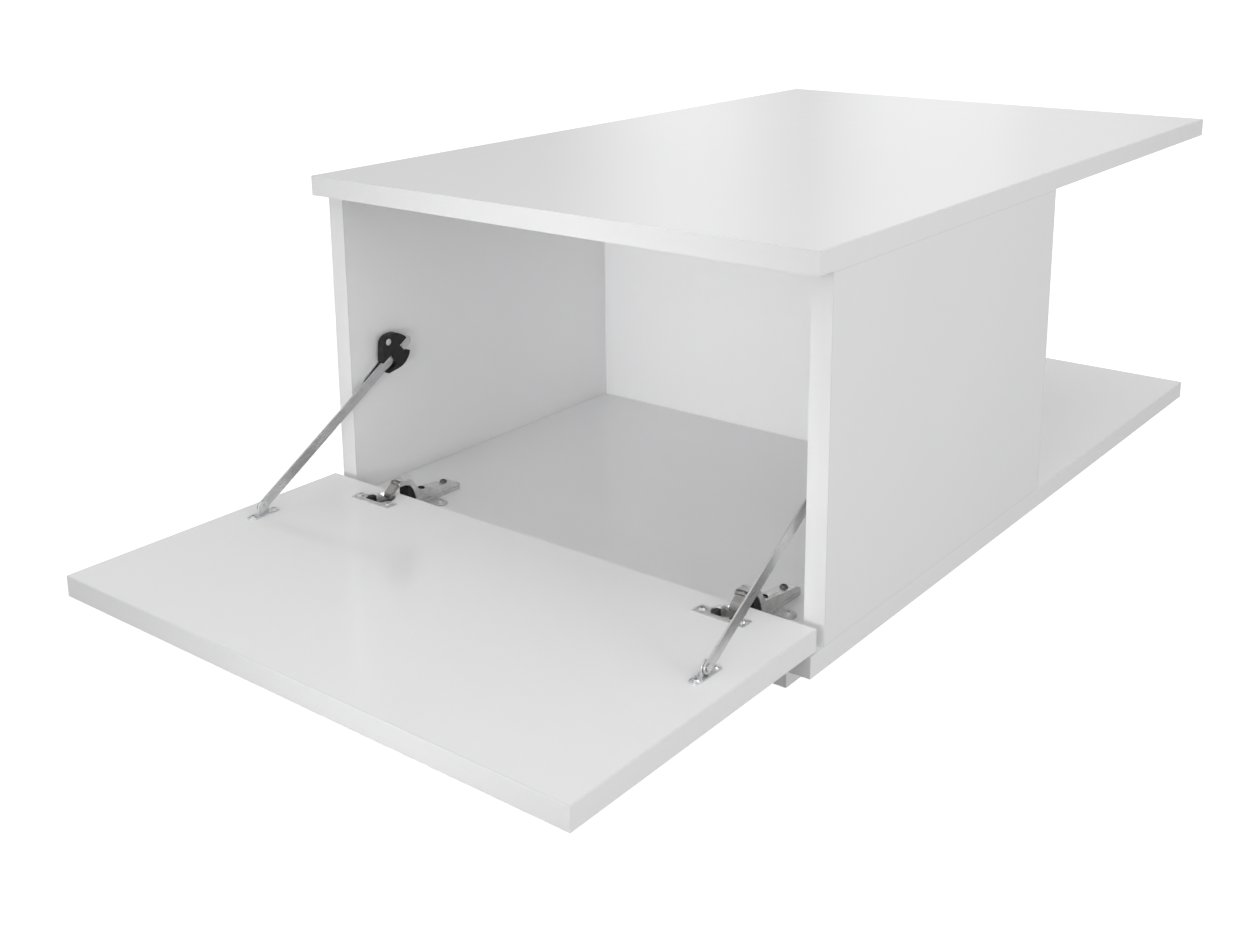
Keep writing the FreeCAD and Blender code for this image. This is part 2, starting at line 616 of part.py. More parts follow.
def carcass_fittings():
    group("carcass_screws", screw(*UPRIGHT_SCREW), upright_screws)
    group("dowels", rod(at("dowel_radius"), at("dowel_length")), dowels)
    group("plinth_screws", screw(*PLINTH_SCREW), plinth_screws)
    group("cam_bolts", rod(at("cam_bolt_radius"), at(CAM_BOLT_LENGTH)), cam_bolts)
    middle = at("board / 2")
    cam = rod(at("cam_radius"), at("cam_depth"))
    slot_radius = at("cam_bolt_radius") + 4 * at("drill_fit")
    entry = Part.makeCylinder(slot_radius, at("cam_radius + 1"), FreeCAD.Vector(0, 0, -middle),
                              FreeCAD.Vector(0, 1, 0))
    solid = cam.cut(entry)
    screwdriver = Part.makeBox(8, 1.6, 1.5, FreeCAD.Vector(-4, -0.8, -1.5))
    solid = solid.cut(screwdriver)
    copies = []
    for x, y, z, head in cams:
        copy = solid.copy()
        facing = FreeCAD.Vector(*head)
        upright = FreeCAD.Vector(0, 0, 1)
        turn = FreeCAD.Rotation(upright.cross(facing) * -1, upright, facing, "ZYX")
        copy.Placement = FreeCAD.Placement(FreeCAD.Vector(at(x), at(y), at(z)), turn)
        copies.append(copy)
    feature = doc.addObject("Part::Feature", "cam_fittings_shape")
    feature.Shape = Part.makeCompound(copies)
    keep(feature, "cam_fittings")


# Cup hinges ---------------------------------------------------------------------------------


def hinge_cup(side):
    """Pressed cup in the door with a screwed flange; its hollow takes the links."""
    body = new_body(f"{side}_hinge_cup")
    place(body, HINGE_X[side], "front_edge + cup_place", "deck + door_face")
    flange = sketch_on(body, "XY_Plane", "0")
    rectangle(flange, "-flange_length / 2", "flange_length / 2",
              "-flange_offset - flange_width / 2", "-flange_offset + flange_width / 2")
    pad(body, flange, "flange_thick")
    cup = sketch_on(body, "XY_Plane", "-cup_hollow - cup_floor")
    circle(cup, "0", "0", "cup_radius")
    pad(body, cup, "cup_hollow + cup_floor")
    hollow = sketch_on(body, "XY_Plane", "0")
    circle(hollow, "0", "0", "cup_inside")
    pocket(body, hollow, "cup_hollow")
    opening = sketch_on(body, "XY_Plane", "flange_thick")
    clipped_circle(opening, "cup_inside", "-flange_lip")
    pocket(body, opening, "flange_thick")
    holes = sketch_on(body, "XY_Plane", "flange_thick")
    for sign in (-1, 1):
        circle(holes, f"{sign} * cup_screw_pitch / 2", "-flange_offset", f"{CUP_SCREW[0]} + drill_fit")
    pocket(body, holes, "flange_thick")


def strip(line, front, back):
    """Outline of a bent strip along a line, from front to back across it, with mitred bends.

    Negative values lie on the line's right-hand side, seen along the line.
    """
    points = [FreeCAD.Vector(y, z, 0) for y, z in line]
    headings = [(b - a).normalize() for a, b in zip(points, points[1:])]
    normals = [FreeCAD.Vector(-h.y, h.x, 0) for h in headings]
    mitres = [normals[0]]
    for one, other in zip(normals, normals[1:]):
        mitres.append((one + other) * (1 / (1 + one.dot(other))))
    mitres.append(normals[-1])
    near = [p + m * front for p, m in zip(points, mitres)]
    far = [p + m * back for p, m in zip(points, mitres)]
    return [(p.x, p.y) for p in near + far[::-1]]


def link_body(side, name):
    body = new_body(f"{side}_hinge_{name}")
    place(body, HINGE_X[side], "front_edge + pivot_depth", "deck + pivot_height")
    return body


def across(body, half_width, draw, *values):
    """Pads a sketch in the YZ plane to both sides of the hinge's middle."""
    sketch = sketch_on(body, "YZ_Plane", f"-({half_width})")
    draw(sketch, *values)
    pad(body, sketch, f"2 * ({half_width})")


def cut_across(body, half_width, draw, *values):
    sketch = sketch_on(body, "YZ_Plane", half_width)
    draw(sketch, *values)
    pocket(body, sketch, f"2 * ({half_width})")


def outer_link(side):
    """U-shaped pressed link: a ribbed web in front and two cheeks with eyes on the arm pin."""
    body = link_body(side, "outer_link")
    across(body, "link_half_width", outline, strip(LINK_LINE, LINK_FRONT, LINK_BACK))
    across(body, "link_half_width", circle, "0", "0", "eye_radius")
    first, bend, foot = (FreeCAD.Vector(y, z, 0) for y, z in LINK_LINE)
    longer = (first + (first - bend).normalize() * 6, bend, foot + (foot - bend).normalize() * 3)
    hollow = strip([(p.x, p.y) for p in longer], WEB_BACK, 8)
    cut_across(body, "link_half_width - link_cheek", outline, hollow)
    cut_across(body, "link_half_width - link_cheek", circle, "0", "0", "eye_radius + 0.2")
    cut_across(body, "link_half_width", circle, "0", "0", "pin_radius + running_fit")


def inner_link(side):
    """Flat link behind the outer one, on the same pin."""
    body = link_body(side, "inner_link")
    across(body, "inner_link_half_width", outline, strip(LINK_LINE, INNER_FRONT, LINK_BACK))
    across(body, "inner_link_half_width", circle, "0", "0", "eye_radius - 0.4")
    cut_across(body, "inner_link_half_width", circle, "0", "0", "pin_radius + running_fit")


def hinge_arm(side):
    """Sheet steel arm: a channel that arches over the door's edge to the arm pin."""
    body = new_body(f"{side}_hinge_arm")
    place(body, HINGE_X[side], "front_edge", "deck")
    end_shoulder, end_level = "arm_rear - 6", "plate_thick + rail_height"
    profile = list(ARM_TOP) + [(end_shoulder, ARM_BODY_END), ("arm_rear", end_level),
                               ("arm_rear", "plate_thick")] + list(ARM_UNDERSIDE)
    across(body, "arm_half_width", outline, profile)
    across(body, "arm_half_width", circle, "pivot_depth", "pivot_height", "eye_radius + 0.2")
    ceiling = [("pivot_depth + 3.2", "pivot_height + 9"), ("pivot_depth + 3.2", "pivot_height + 2.9 - arm_wall"),
               (24, "pivot_height + 3.2 - arm_wall"), (30.3, "pivot_height + 0.5 - arm_wall"), (42.5, "17.3 - arm_wall"),
               ("arm_rear - 6.5", f"{ARM_BODY_END} - arm_wall"), ("arm_rear - arm_wall", "plate_thick + 2"),
               ("arm_rear - arm_wall", "0"), ("pivot_depth - 9", "0"), ("pivot_depth - 9", "pivot_height + 9")]
    cut_across(body, "arm_inside", outline, ceiling)
    cut_across(body, "arm_half_width", circle, "pivot_depth", "pivot_height", "pin_radius + drill_fit / 5")
    holes = sketch_on(body, "XY_Plane", "25")
    circle(holes, "0", "front_screw_depth", "adjuster_hole")
    circle(holes, "0", "rear_screw_depth", "arm_screw_radius + side_gap")
    pocket(body, holes, "20")


def hinge_insert(side):
    """Black plastic damper housing between the arm's cheeks, under the arch."""
    body = new_body(f"{side}_hinge_insert")
    place(body, HINGE_X[side], "front_edge", "deck")
    across(body, "arm_inside", outline, INSERT_PROFILE)


def mounting_plate(side):
    """Die-cast plate on the bottom panel with two wings and a rail for the arm."""
    body = new_body(f"{side}_mounting_plate")
    place(body, HINGE_X[side], "front_edge", "deck")
    base = sketch_on(body, "XY_Plane", "0")
    rectangle(base, "-arm_half_width - 0.8", "arm_half_width + 0.8", "plate_front", "arm_rear - 1")
    pad(body, base, "plate_thick")
    wings = sketch_on(body, "XY_Plane", "0")
    belt(wings, ("-wing_reach + wing_radius", "wing_depth"), "wing_radius",
         ("wing_reach - wing_radius", "wing_depth"), "wing_radius")
    pad(body, wings, "wing_thick")
    rail = sketch_on(body, "XY_Plane", "plate_thick")
    rectangle(rail, "-arm_inside + side_gap", "arm_inside - side_gap", "plate_front + 3", "arm_rear - 8")
    pad(body, rail, "rail_height")
    holes = sketch_on(body, "XY_Plane", "wing_thick")
    for sign in (-1, 1):
        circle(holes, f"{sign} * wing_screw", "wing_depth", f"{WING_SCREW[0]} + drill_fit")
    pocket(body, holes, "wing_thick")
    threads = sketch_on(body, "XY_Plane", "plate_thick + rail_height")
    circle(threads, "0", "front_screw_depth", "arm_screw_radius + drill_fit")
    circle(threads, "0", "rear_screw_depth", "arm_screw_radius + drill_fit")
    pocket(body, threads, "plate_thick + rail_height")


def hinge_fasteners():
    group("cup_screws", screw(*CUP_SCREW), cup_screws)
    group("mounting_plate_screws", screw(*WING_SCREW), wing_screws)
    spots = [(HINGE_X[side], "front_edge + rear_screw_depth", "deck + fixing_seat", UP) for side in SIDES]
    group("arm_fixing_screws", screw(at("arm_screw_radius"), at("fixing_seat") - 0.3, 4.4, 2), spots)
    adjuster = rod(at("arm_screw_radius"), 10.2).cut(Part.makeBox(4, 0.8, 1.2, FreeCAD.Vector(-2, -0.4, -1.2)))
    spots = [(HINGE_X[side], "front_edge + front_screw_depth", "deck + adjuster_top", UP) for side in SIDES]
    group("arm_adjusting_screws", adjuster, spots)
    pin = rod(at("pin_radius"), at("2 * arm_half_width + 0.8"))
    spots = [(f"{HINGE_X[side]} + arm_half_width + 0.4", "front_edge + pivot_depth",
              "deck + pivot_height", RIGHT) for side in SIDES]
    group("arm_pins", pin, spots)


# Flap stays ---------------------------------------------------------------------------------


def tilted_body(label, along_x, along_y, along_z):
    """A body whose own Y axis runs up along the stay bar."""
    body = new_body(label)
    place(body, along_x, along_y, along_z)
    body.Placement.Rotation = FreeCAD.Rotation(FreeCAD.Vector(1, 0, 0), at("bar_angle"))
    bind(body, "Placement.Rotation.Angle", "bar_angle")
    return body


def stay_bar(side):
    """Flat steel bar on edge, riveted to the door bracket; it slides through the hub."""
    body = tilted_body(f"{side}_stay_bar", STAY_X[side], "front_edge + rivet_place",
                       "deck + door_face + stay_lug")
    across(body, "bar_thick / 2", belt, ("0", "0"), "bar_width / 2", ("bar_length", "0"), "bar_width / 2")
    cut_across(body, "bar_thick / 2", circle, "0", "0", "rivet_radius + running_fit")
    cut_across(body, "bar_thick / 2", circle, "stop_place", "0", "1.6")


def stay_stop(side):
    """Headed stop pin near the bar's free end: it meets the hub when the flap is open."""
    shank = Part.makeCylinder(1.6, at("bar_thick"), FreeCAD.Vector(0, 0, at("-bar_thick / 2")))
    heads = [Part.makeCylinder(at("stop_radius"), 1.2, FreeCAD.Vector(0, 0, z))
             for z in (at("bar_thick / 2"), at("-bar_thick / 2 - 1.2"))]
    spots = [(STAY_X[side], "front_edge + rivet_place + stop_place * cos(bar_angle)",
              "deck + door_face + stay_lug + stop_place * sin(bar_angle)", RIGHT)]
    group(f"{side}_stay_stop", shank.fuse(heads).removeSplitter(), spots)


def stay_hub(side):
    """Black swivel hub: two lobes with a bridge over the bar, on a tail that turns on the pin."""
    body = tilted_body(f"{side}_stay_hub", INNER_FACE[side], "front_edge + hub_place", "deck + hub_level")
    back = "base_thick + side_gap"
    floor = "bar_offset - bar_thick / 2 - side_gap"
    ceiling = "bar_offset + bar_thick / 2 + side_gap"
    shape = [(f"hub_along + {along}", across_bar) for along, across_bar in HUB_OUTLINE]
    layer_pad(body, side, back, "hub_face", outline, shape)
    layer_pad(body, side, back, floor, belt, ("0", "0"), "hub_tail_radius",
              ("hub_along", "0"), "hub_tail_radius")
    layer_pocket(body, side, floor, ceiling, rectangle, "-20", "hub_along + 40",
                 f"-({HUB_LOBE_EDGE})", HUB_LOBE_EDGE)
    layer_pocket(body, side, back, floor, circle, "0", "0", "hub_pin_radius + running_fit")
    layer_pocket(body, side, "hub_face - hub_screw_depth", "hub_face", circle, "hub_along - hub_screw_back",
                 "hub_screw_rise", "1.5 + drill_fit")


def hub_screw(side):
    """Friction screw in the face of the hub."""
    sign = SIDES[side]
    along, rise = "(hub_along - hub_screw_back)", "hub_screw_rise"
    spots = [(f"{INNER_FACE[side]} - {sign} * hub_face",
              f"front_edge + hub_place + {along} * cos(bar_angle) - {rise} * sin(bar_angle)",
              f"deck + hub_level + {along} * sin(bar_angle) + {rise} * cos(bar_angle)", INWARD[side])]
    group(f"{side}_hub_screw", screw(1.5, 4.4, 4, 0.9), spots)


def hub_base(side):
    """Steel plate on the side panel, with the pin that the hub turns on."""
    body = tilted_body(f"{side}_hub_base", INNER_FACE[side], "front_edge + hub_place", "deck + hub_level")
    layer_pad(body, side, "0", "base_thick", belt, ("0", "0"), "base_radius",
              ("hub_along", "0"), "base_end_radius")
    layer_pad(body, side, "base_thick", "bar_offset - bar_thick / 2 - 2 * side_gap", circle,
              "0", "0", "hub_pin_radius")
    for along in ("hub_along / 2", "hub_along"):
        layer_pocket(body, side, "0", "base_thick", circle, along, "0", f"{BASE_SCREW[0]} + drill_fit")
        layer_pocket(body, side, "base_thick - 1.8", "base_thick", circle, along, "0",
                     f"{BASE_SCREW[2]} + drill_fit")


def door_bracket(side):
    """Oblong plate screwed to the door, with an upright lug that carries the bar's rivet."""
    sign = SIDES[side]
    body = new_body(f"{side}_door_bracket")
    middle = f"{STAY_X[side]} - {sign} * (bar_thick / 2 + side_gap + lug_thick / 2)"
    place(body, middle, "front_edge + rivet_place", "deck + door_face")
    plate = sketch_on(body, "XY_Plane", "0")
    belt(plate, ("0", "-bracket_length / 2"), "bracket_radius", ("0", "bracket_length / 2"), "bracket_radius")
    pad(body, plate, "bracket_thick")
    across(body, "lug_thick / 2", rectangle, "-lug_radius", "lug_radius", "0", "stay_lug")
    across(body, "lug_thick / 2", circle, "0", "stay_lug", "lug_radius")
    cut_across(body, "lug_thick / 2", circle, "0", "stay_lug", "rivet_radius + drill_fit / 5")
    holes = sketch_on(body, "XY_Plane", "bracket_thick")
    for sign in (-1, 1):
        circle(holes, "0", f"{sign} * bracket_length / 2", f"{BRACKET_SCREW[0]} + drill_fit")
    pocket(body, holes, "bracket_thick")


def stay_fasteners():
    group("door_bracket_screws", screw(*BRACKET_SCREW), bracket_spots)
    group("hub_base_screws", screw(*BASE_SCREW), base_spots)
    inner = at("bar_thick / 2 + side_gap + lug_thick")
    outer = at("bar_thick / 2 + side_gap")
    shank = Part.makeCylinder(at("rivet_radius"), inner + outer, FreeCAD.Vector(0, 0, -outer))
    heads = [Part.makeCylinder(3.6, 1.2, FreeCAD.Vector(0, 0, z)) for z in (inner, -outer - 1.2)]
    spots = [(STAY_X[side], "front_edge + rivet_place", "deck + door_face + stay_lug", INWARD[side])
             for side in SIDES]
    group("bar_rivets", shank.fuse(heads).removeSplitter(), spots)


# The whole table ----------------------------------------------------------------------------

bottom_panel()
top_panel()
back_panel()
flap_door()
plinth()
plinth_brackets()
floor_glides()
carcass_fittings()
hinge_fasteners()
stay_fasteners()
for side_name in SIDES:
    side_panel(side_name)
    hinge_cup(side_name)
    outer_link(side_name)
    inner_link(side_name)
    hinge_arm(side_name)
    hinge_insert(side_name)
    mounting_plate(side_name)
    stay_bar(side_name)
    stay_stop(side_name)
    stay_hub(side_name)
    hub_screw(side_name)
    hub_base(side_name)
    door_bracket(side_name)
doc.recompute()

for item in doc.Objects:
    if "Invalid" in item.State or "Error" in item.State:
        raise RuntimeError(f"{item.Name} ({item.Label}) failed: {item.State}")
    if item.TypeId == "PartDesign::Pocket" and item.Shape.Volume >= item.BaseFeature.Shape.Volume:
        raise RuntimeError(f"{item.Name} in {item.getParent().Label} cuts nothing")
for item in parts:
    if item.Shape.isNull() or not item.Shape.isValid():
        raise RuntimeError(f"{item.Label} has no valid shape")

os.makedirs("parts", exist_ok=True)
for item in parts:
    item.Shape.exportStep(f"parts/{item.Label}.step")
print(len(parts), "sub-parts written")
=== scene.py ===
import math

import bpy
import numpy as np
from mathutils import Matrix, Vector


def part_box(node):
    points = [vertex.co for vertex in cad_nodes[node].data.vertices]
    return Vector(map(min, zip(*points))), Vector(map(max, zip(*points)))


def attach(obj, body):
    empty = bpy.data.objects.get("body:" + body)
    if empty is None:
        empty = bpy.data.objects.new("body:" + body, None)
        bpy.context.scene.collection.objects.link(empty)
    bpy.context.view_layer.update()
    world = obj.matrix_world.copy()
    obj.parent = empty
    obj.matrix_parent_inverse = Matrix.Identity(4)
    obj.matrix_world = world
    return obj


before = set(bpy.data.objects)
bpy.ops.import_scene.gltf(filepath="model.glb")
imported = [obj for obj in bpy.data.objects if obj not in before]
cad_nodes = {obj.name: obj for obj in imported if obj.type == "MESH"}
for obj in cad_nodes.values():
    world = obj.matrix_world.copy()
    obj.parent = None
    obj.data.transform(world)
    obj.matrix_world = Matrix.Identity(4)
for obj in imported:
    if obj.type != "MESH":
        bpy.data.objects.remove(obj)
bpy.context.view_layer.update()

SIDES = ("left", "right")

# ---------------------------------------------------------------------------------------------
# Carcass: bottom panel, side panels, back panel and top panel. Each is a 22 mm fibreboard with
# high-gloss white lacquer and a 1 mm plastic edge band glued round its narrow faces, whose
# joint shows as a hair line. Screws from below and hidden cams above hold them together.

WHITE_LACQUER = (0.915, 0.915, 0.917, 1)
CLOUDY_LACQUER = (0.89, 0.89, 0.90, 1)
LINT_GREY = (0.62, 0.61, 0.6, 1)
GLUE_GREY = (0.5, 0.5, 0.51, 1)
LACQUER_ROUGHNESS = 0.1
LACQUER_IOR = 1.5
PEEL_STRENGTH, PEEL_DEPTH = 0.12, 0.00003
EDGE_BAND = 0.001
EDGE_BAND_EXTRA_ROUGHNESS = 0.12
GLUE_LINE_SHARE = 0.55
GLUE_LINE_CORE, GLUE_LINE_SIDE = 0.00008, 0.00025
BOARD_ARRIS = 0.0007
JOIN_DISTANCE = 0.00001
SHARP_ANGLE = math.radians(40)


def node_tree(material):
    """Turns on a new material's nodes. Returns (nodes, links, Principled shader)."""
    material.use_nodes = True
    tree = material.node_tree
    return tree.nodes, tree.links, tree.nodes["Principled BSDF"]


def new_group(name, inputs, outputs):
    """A shader group with named sockets. Returns the group, its nodes, links, inlet and outlet."""
    group = bpy.data.node_groups.new(name, "ShaderNodeTree")
    kinds = {"c": "NodeSocketColor", "f": "NodeSocketFloat", "v": "NodeSocketVector"}
    for socket, kind in inputs:
        group.interface.new_socket(socket, in_out="INPUT", socket_type=kinds[kind])
    for socket, kind in outputs:
        group.interface.new_socket(socket, in_out="OUTPUT", socket_type=kinds[kind])
    inlet = group.nodes.new("NodeGroupInput")
    outlet = group.nodes.new("NodeGroupOutput")
    return group, group.nodes, group.links, inlet, outlet


def place_group(nodes, group, values):
    """Places a shader group in a material with that material's own values."""
    box = nodes.new("ShaderNodeGroup")
    box.node_tree = group
    for socket, value in values.items():
        box.inputs[socket].default_value = value
    return box


def maths(nodes, links, operation, *terms):
    """A Math node fed with numbers or sockets. Returns its value."""
    node = nodes.new("ShaderNodeMath")
    node.operation = operation
    for socket, term in zip(node.inputs, terms):
        if isinstance(term, (int, float)):
            socket.default_value = term
        else:
            links.new(term, socket)
    return node.outputs[0]


def vectors(nodes, links, operation, *terms):
    """A Vector Math node fed with triples or sockets. Returns its vector, or a dot product."""
    node = nodes.new("ShaderNodeVectorMath")
    node.operation = operation
    for socket, term in zip(node.inputs, terms):
        if isinstance(term, (tuple, list)):
            socket.default_value = term
        else:
            links.new(term, socket)
    return node.outputs["Value"] if operation == "DOT_PRODUCT" else node.outputs[0]


def noise(nodes, links, place, scale, detail=2.0, roughness=0.5):
    """Noise from 0 to 1 whose coarsest waves are about 1 / scale metres long."""
    node = nodes.new("ShaderNodeTexNoise")
    node.inputs["Scale"].default_value = scale
    node.inputs["Detail"].default_value = detail
    node.inputs["Roughness"].default_value = roughness
    links.new(place, node.inputs["Vector"])
    return node.outputs["Fac"]


def between(nodes, links, value, low, high, out_low, out_high):
    """The value's place from low to high carried to out_low to out_high, held at both ends."""
    node = nodes.new("ShaderNodeMapRange")
    limits = {"From Min": low, "From Max": high, "To Min": out_low, "To Max": out_high}
    for socket, number in limits.items():
        node.inputs[socket].default_value = number
    links.new(value, node.inputs["Value"])
    return node.outputs["Result"]


def mixed(nodes, links, factor, one, other):
    """Colour one turned into the other by factor. Each term is a value or a socket."""
    node = nodes.new("ShaderNodeMix")
    node.data_type = "RGBA"
    for socket, term in (("Factor", factor), ("A", one), ("B", other)):
        if isinstance(term, (int, float, tuple)):
            node.inputs[socket].default_value = term
        else:
            links.new(term, node.inputs[socket])
    return node.outputs["Result"]


def emboss(nodes, links, shader, height, strength, depth):
    """Raises the shaded surface by a height from 0 to 1, where 1 is depth metres."""
    bump = nodes.new("ShaderNodeBump")
    bump.inputs["Strength"].default_value = strength
    bump.inputs["Distance"].default_value = depth
    links.new(height, bump.inputs["Height"])
    links.new(bump.outputs["Normal"], shader.inputs["Normal"])


def lacquer_film_group():
    """Polished lacquer: a faint cloudiness of its white, orange peel and a little lint.

    Height is a 7 mm swell plus a 1.4 mm peel. Roughness rises where fine cloths have rubbed.
    """
    cloud_scale, lint_scale, rubbed_scale, swell_scale, peel_scale = 5.0, 1400.0, 14.0, 140.0, 700.0
    peel_share = 0.35
    group, nodes, links, inlet, outlet = new_group(
        "lacquer_film", [("Colour", "c"), ("Roughness", "f")],
        [("Colour", "c"), ("Roughness", "f"), ("Height", "f")])
    place = nodes.new("ShaderNodeTexCoord").outputs["Object"]
    cloud = between(nodes, links, noise(nodes, links, place, cloud_scale, 3.0), 0.3, 0.7, 0.0, 0.35)
    shade = mixed(nodes, links, cloud, inlet.outputs["Colour"], CLOUDY_LACQUER)
    lint = between(nodes, links, noise(nodes, links, place, lint_scale, 1.0), 0.80, 0.86, 0.0, 0.25)
    links.new(mixed(nodes, links, lint, shade, LINT_GREY), outlet.inputs["Colour"])
    rubbed = between(nodes, links, noise(nodes, links, place, rubbed_scale, 4.0),
                     0.35, 0.75, 0.0, 0.05)
    links.new(maths(nodes, links, "ADD", inlet.outputs["Roughness"], rubbed),
              outlet.inputs["Roughness"])
    swell = noise(nodes, links, place, swell_scale, 1.0)
    peel = noise(nodes, links, place, peel_scale, 2.0)
    links.new(maths(nodes, links, "MULTIPLY_ADD", peel, peel_share, swell), outlet.inputs["Height"])
    return group


def edge_band_group():
    """Glue line of the edge bands: 1 on a hair line one band's thickness inside a board's edges.

    Each component of the distance to the board's nearer corner is taken, the middle one of the
    three is the distance to the nearest edge within a face, and only broad faces carry the line.
    """
    group, nodes, links, inlet, outlet = new_group(
        "edge_band_joint", [("Low", "v"), ("High", "v"), ("Across", "v")],
        [("Line", "f"), ("Edge", "f")])
    coordinates = nodes.new("ShaderNodeTexCoord")
    place = coordinates.outputs["Object"]
    inside = vectors(nodes, links, "MINIMUM",
                     vectors(nodes, links, "SUBTRACT", place, inlet.outputs["Low"]),
                     vectors(nodes, links, "SUBTRACT", inlet.outputs["High"], place))
    parts = nodes.new("ShaderNodeSeparateXYZ")
    links.new(inside, parts.inputs[0])
    x, y, z = parts.outputs
    lesser = maths(nodes, links, "MINIMUM", x, y)
    greater = maths(nodes, links, "MAXIMUM", x, y)
    nearest = maths(nodes, links, "MAXIMUM", lesser, maths(nodes, links, "MINIMUM", greater, z))
    off_line = maths(nodes, links, "ABSOLUTE",
                     maths(nodes, links, "SUBTRACT", nearest, EDGE_BAND))
    hair = between(nodes, links, off_line, GLUE_LINE_CORE, GLUE_LINE_SIDE, 1.0, 0.0)
    turned = vectors(nodes, links, "DOT_PRODUCT", coordinates.outputs["Normal"],
                     inlet.outputs["Across"])
    broad = between(nodes, links, maths(nodes, links, "ABSOLUTE", turned), 0.9, 0.99, 0.0, 1.0)
    links.new(maths(nodes, links, "MULTIPLY", hair, broad), outlet.inputs["Line"])
    links.new(maths(nodes, links, "SUBTRACT", 1.0, broad), outlet.inputs["Edge"])
    return group


LACQUER_FILM = lacquer_film_group()
EDGE_BAND_JOINT = edge_band_group()


def lacquered_board_material(node, across):
    """White lacquer for one board, with the glue line of the bands round its own edges."""
    low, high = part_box(node)
    material = bpy.data.materials.new(node + "_lacquer")
    nodes, links, shader = node_tree(material)
    film = place_group(nodes, LACQUER_FILM,
                       {"Colour": WHITE_LACQUER, "Roughness": LACQUER_ROUGHNESS})
    joint = place_group(nodes, EDGE_BAND_JOINT, {"Low": low, "High": high, "Across": across})
    line = maths(nodes, links, "MULTIPLY", joint.outputs["Line"], GLUE_LINE_SHARE)
    links.new(mixed(nodes, links, line, film.outputs["Colour"], GLUE_GREY),
              shader.inputs["Base Color"])
    duller = maths(nodes, links, "MULTIPLY_ADD", joint.outputs["Edge"],
                   EDGE_BAND_EXTRA_ROUGHNESS, film.outputs["Roughness"])
    links.new(duller, shader.inputs["Roughness"])
    emboss(nodes, links, shader, film.outputs["Height"], PEEL_STRENGTH, PEEL_DEPTH)
    shader.inputs["IOR"].default_value = LACQUER_IOR
    return material


def dress(node, material, arris=0.0, segments=2):
    """Gives a CAD node its one material and rounds its sharp edges, as a broken arris is.

    The node's mesh is loose triangles, so Weld joins them before Bevel rounds them.
    """
    mesh = cad_nodes[node].data
    mesh.materials.clear()
    mesh.materials.append(material)
    if not arris:
        return
    weld = cad_nodes[node].modifiers.new("joined", "WELD")
    weld.merge_threshold = JOIN_DISTANCE
    bevel = cad_nodes[node].modifiers.new("arris", "BEVEL")
    bevel.width = arris
    bevel.segments = segments
    bevel.limit_method = "ANGLE"
    bevel.angle_limit = SHARP_ANGLE
    bevel.harden_normals = True


CARCASS_BOARDS = {
    "bottom_panel": (0, 0, 1), "top_panel": (0, 0, 1), "back_panel": (0, 1, 0),
    "left_side_panel": (1, 0, 0), "right_side_panel": (1, 0, 0),
}
for board, across in CARCASS_BOARDS.items():
    dress(board, lacquered_board_material(board, across), BOARD_ARRIS)

# ---------------------------------------------------------------------------------------------
# Plinth: four boards of the same lacquered fibreboard, set back under the bottom panel, tied to
# it by pressed zinc-plated angle brackets. Grey plastic glides are stuck under it.

PLINTH_BOARDS = {
    "plinth_front_board": (0, 1, 0), "plinth_rear_board": (0, 1, 0),
    "plinth_left_board": (1, 0, 0), "plinth_right_board": (1, 0, 0),
}
for board, across in PLINTH_BOARDS.items():
    dress(board, lacquered_board_material(board, across), BOARD_ARRIS)

GRAIN_STRENGTH, GRAIN_DEPTH = 0.35, 0.00002


def plated_metal_group():
    """Plated steel: long fine grain along one direction, cloudy plating and small dull spots.

    Grain is noise on coordinates stretched by the three factors of Stretch after they are
    turned by Tilt about the X axis, so the lines run along the factor that is least.
    """
    cloud_scale, spot_scale = 90.0, 420.0
    group, nodes, links, inlet, outlet = new_group(
        "plated_metal",
        [("Colour", "c"), ("Dull", "c"), ("Stretch", "v"), ("Tilt", "v"), ("Roughness", "f")],
        [("Colour", "c"), ("Roughness", "f"), ("Height", "f")])
    place = nodes.new("ShaderNodeTexCoord").outputs["Object"]
    turn = nodes.new("ShaderNodeMapping")
    links.new(place, turn.inputs["Vector"])
    links.new(inlet.outputs["Tilt"], turn.inputs["Rotation"])
    stretched = vectors(nodes, links, "MULTIPLY", turn.outputs["Vector"], inlet.outputs["Stretch"])
    grain = noise(nodes, links, stretched, 1.0, 3.0, 0.6)
    dull = inlet.outputs["Dull"]
    cloud = between(nodes, links, noise(nodes, links, place, cloud_scale, 3.0), 0.35, 0.7, 0.0, 0.5)
    lines = between(nodes, links, grain, 0.3, 0.7, 0.0, 0.3)
    spots = between(nodes, links, noise(nodes, links, place, spot_scale, 2.0), 0.62, 0.74, 0.0, 0.5)
    toned = inlet.outputs["Colour"]
    for share in (cloud, lines, spots):
        toned = mixed(nodes, links, share, toned, dull)
    links.new(toned, outlet.inputs["Colour"])
    rougher = between(nodes, links, grain, 0.3, 0.7, -0.06, 0.08)
    spotted = maths(nodes, links, "MULTIPLY_ADD", spots, 0.2, rougher)
    links.new(maths(nodes, links, "ADD", inlet.outputs["Roughness"], spotted),
              outlet.inputs["Roughness"])
    links.new(grain, outlet.inputs["Height"])
    return group


PLATED_METAL = plated_metal_group()


